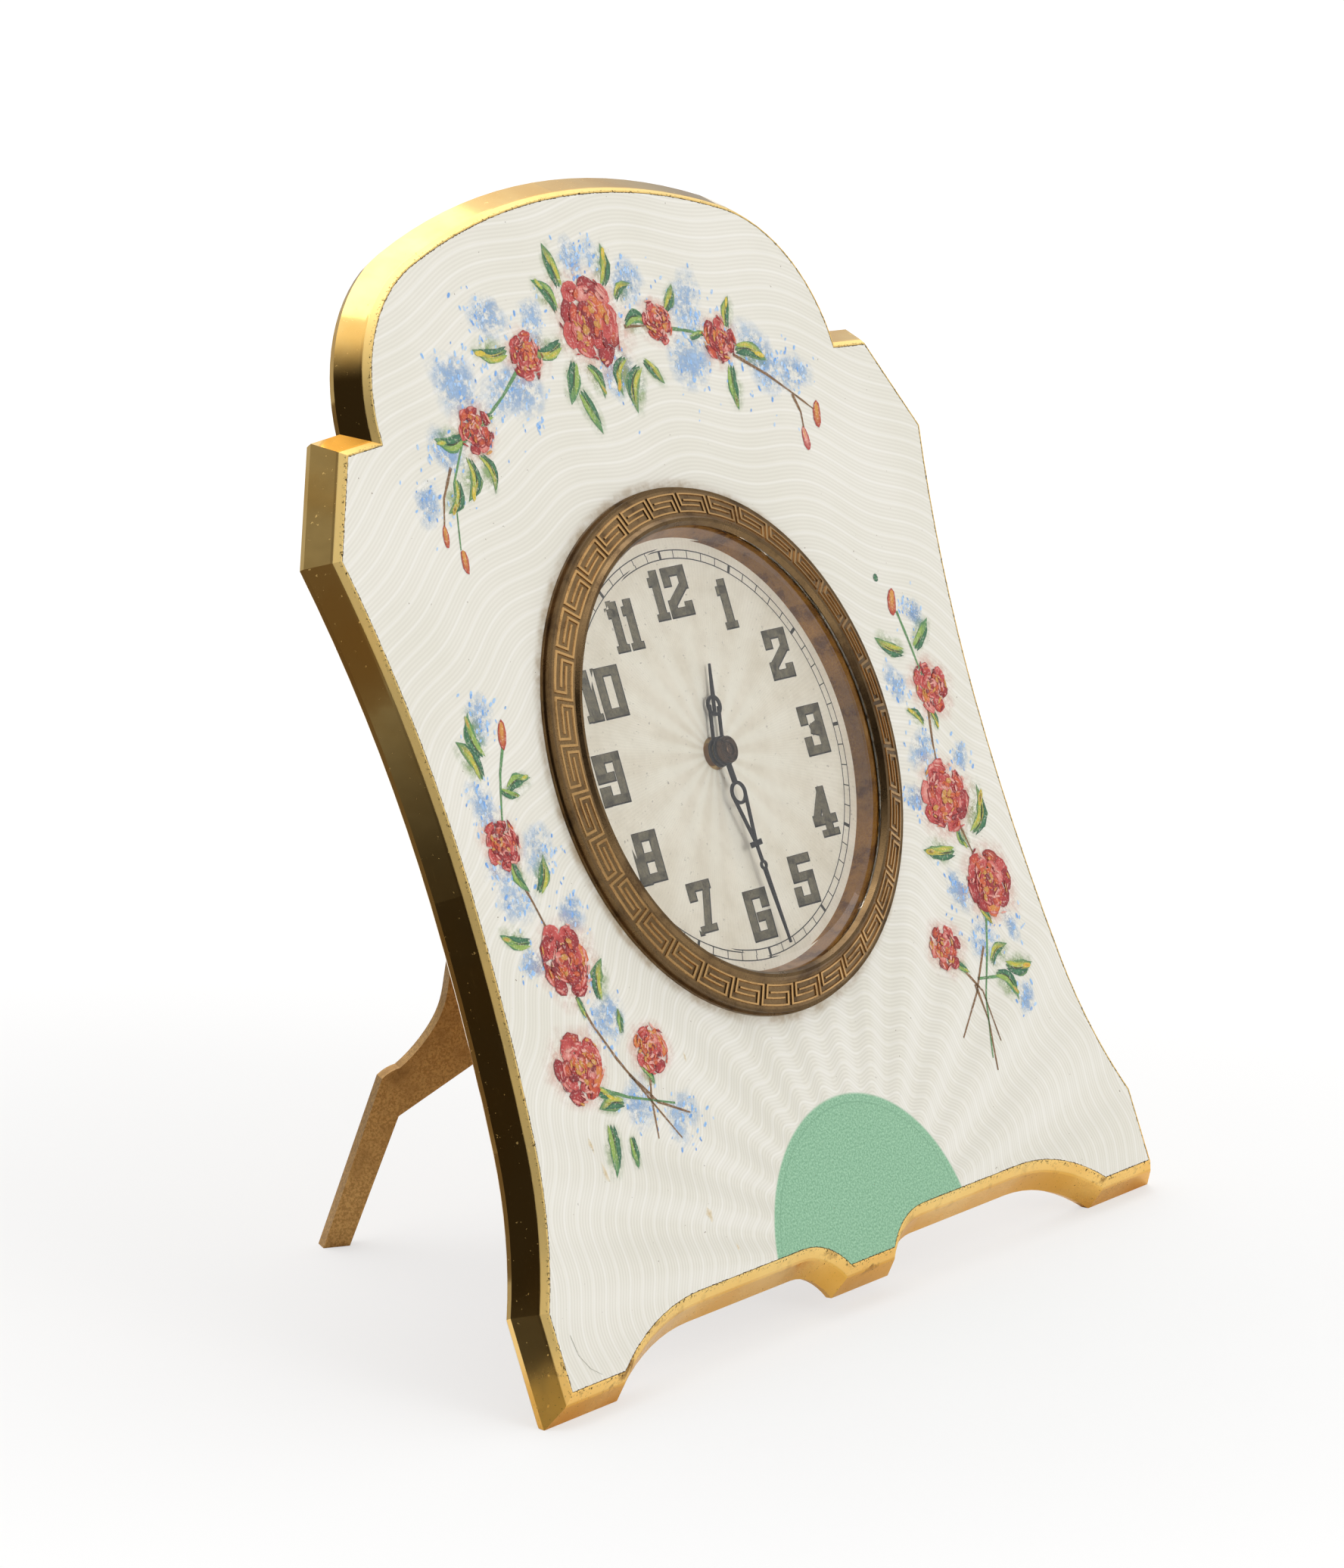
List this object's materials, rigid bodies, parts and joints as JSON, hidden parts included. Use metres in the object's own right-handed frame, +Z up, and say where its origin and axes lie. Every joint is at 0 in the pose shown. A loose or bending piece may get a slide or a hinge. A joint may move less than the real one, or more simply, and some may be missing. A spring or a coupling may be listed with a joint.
{
  "type": "pendulette clock",
  "caption": "Small table clock with a waisted enamelled front in a gilt frame, round dial under bevelled glass, spring movement in a drum, winding key and hinged strut.",
  "frame": {"origin": "middle of the footprint's box, on the table", "axes": "+X to the viewer's right, +Y to the back, +Z up; the front leans back 20.8 degrees and looks towards -Y"},
  "size_m": [0.0914, 0.0508, 0.0954],
  "materials": {
    "gilt_brass": "polished gilt, worn at the edges",
    "enamel": "translucent ivory enamel over engine turning",
    "steel": "polished steel",
    "bronzed_brass": "aged brown bronze with bright edges",
    "glass": "bevelled clear glass",
    "ring_brass": "aged matte brass",
    "dial_silver": "cream silvered, engine turned",
    "blued_steel": "dark blued steel",
    "movement_brass": "matte gilt",
    "spring_steel": "tempered spring steel",
    "aged_gilt": "matte, finely grained, aged"
  },
  "bodies": {
    "case": {"case_frame": "gilt_brass", "enamel_panel": "enamel", "back_plate": "aged_gilt", "back_screws": "steel", "bezel": "bronzed_brass", "crystal": "glass", "reflector_ring": "ring_brass", "dial": "dial_silver", "dial_spacer": "movement_brass", "main_plate": "movement_brass", "pillars": "movement_brass", "top_plate": "movement_brass", "pillar_screws": "steel", "click_screw": "steel", "hairspring": "spring_steel", "balance_cock": "movement_brass", "cock_screw": "steel", "movement_can": "aged_gilt", "back_cover": "aged_gilt", "strut_bracket": "aged_gilt", "hinge_pin": "steel"},
    "hands_arbor": {"centre_arbor": "steel", "cannon_pinion": "steel", "minute_hand": "blued_steel", "hand_nut": "blued_steel", "setting_knob": "aged_gilt"},
    "hour_body": {"hour_hand": "blued_steel", "hour_wheel": "movement_brass"},
    "minute_work": {"minute_wheel": "movement_brass"},
    "barrel_body": {"barrel": "movement_brass", "mainspring": "spring_steel"},
    "centre_body": {"centre_wheel": "movement_brass"},
    "third_body": {"third_wheel": "movement_brass"},
    "fourth_body": {"fourth_wheel": "movement_brass"},
    "escape_body": {"escape_wheel": "steel"},
    "pallet_body": {"pallet_lever": "steel"},
    "balance_body": {"balance_wheel": "movement_brass"},
    "winding_body": {"barrel_arbor": "steel", "ratchet_wheel": "steel", "winding_key": "aged_gilt"},
    "click_body": {"click": "steel"},
    "strut_body": {"strut": "aged_gilt"}
  },
  "joints": [
    {"name": "hands_turn", "type": "hinge", "parent": "case", "child": "hands_arbor", "pos_m": [0, 0.0008, 0.04368], "axis": [0, 0.9348, -0.3551], "continuous": true},
    {"name": "hour_turn", "type": "hinge", "parent": "case", "child": "hour_body", "pos_m": [0, 0.0008, 0.04368], "axis": [0, 0.9348, -0.3551], "continuous": true},
    {"name": "minute_work_turn", "type": "hinge", "parent": "case", "child": "minute_work", "pos_m": [-0.00219, 0.00293, 0.0493], "axis": [0, 0.9348, -0.3551], "continuous": true},
    {"name": "fourth_turn", "type": "hinge", "parent": "case", "child": "fourth_body", "pos_m": [0.01052, 0.00141, 0.0453], "axis": [0, 0.9348, -0.3551], "continuous": true},
    {"name": "third_turn", "type": "hinge", "parent": "case", "child": "third_body", "pos_m": [0.00552, 0.00244, 0.048], "axis": [0, 0.9348, -0.3551], "continuous": true},
    {"name": "centre_turn", "type": "hinge", "parent": "case", "child": "centre_body", "pos_m": [0, 0.0008, 0.04368], "axis": [0, 0.9348, -0.3551], "continuous": true},
    {"name": "barrel_turn", "type": "hinge", "parent": "case", "child": "barrel_body", "pos_m": [-0.0093, -0.00041, 0.04051], "axis": [0, 0.9348, -0.3551], "continuous": true},
    {"name": "escape_turn", "type": "hinge", "parent": "case", "child": "escape_body", "pos_m": [0.0114, -0.00036, 0.04064], "axis": [0, 0.9348, -0.3551], "continuous": true},
    {"name": "pallet_swing", "type": "hinge", "parent": "case", "child": "pallet_body", "pos_m": [0.00972, -0.00199, 0.03634], "axis": [0, 0.9348, -0.3551], "range_deg": [-3, 3]},
    {"name": "balance_swing", "type": "hinge", "parent": "case", "child": "balance_body", "pos_m": [0.0035, -0.00364, 0.03199], "axis": [0, 0.9348, -0.3551], "range_deg": [-135, 135]},
    {"name": "winding_turn", "type": "hinge", "parent": "case", "child": "winding_body", "pos_m": [-0.0093, -0.00041, 0.04051], "axis": [0, 0.9348, -0.3551], "continuous": true},
    {"name": "click_swing", "type": "hinge", "parent": "case", "child": "click_body", "pos_m": [-0.01328, 0.00128, 0.04494], "axis": [0, 0.9348, -0.3551], "range_deg": [0, 12]},
    {"name": "strut_fold", "type": "hinge", "parent": "case", "child": "strut_body", "pos_m": [0.0115, 0.0065, 0.04151], "axis": [-0.4695, 0.3135, 0.8254], "range_deg": [0, 39]}
  ],
  "couplings": [
    {"joint": "hour_turn", "follows": "hands_turn", "ratio": 0.083333},
    {"joint": "minute_work_turn", "follows": "hands_turn", "ratio": -0.33333},
    {"joint": "third_turn", "follows": "fourth_turn", "ratio": -0.13333},
    {"joint": "centre_turn", "follows": "fourth_turn", "ratio": 0.016667},
    {"joint": "barrel_turn", "follows": "fourth_turn", "ratio": -0.0020833},
    {"joint": "escape_turn", "follows": "fourth_turn", "ratio": -10}
  ]
}
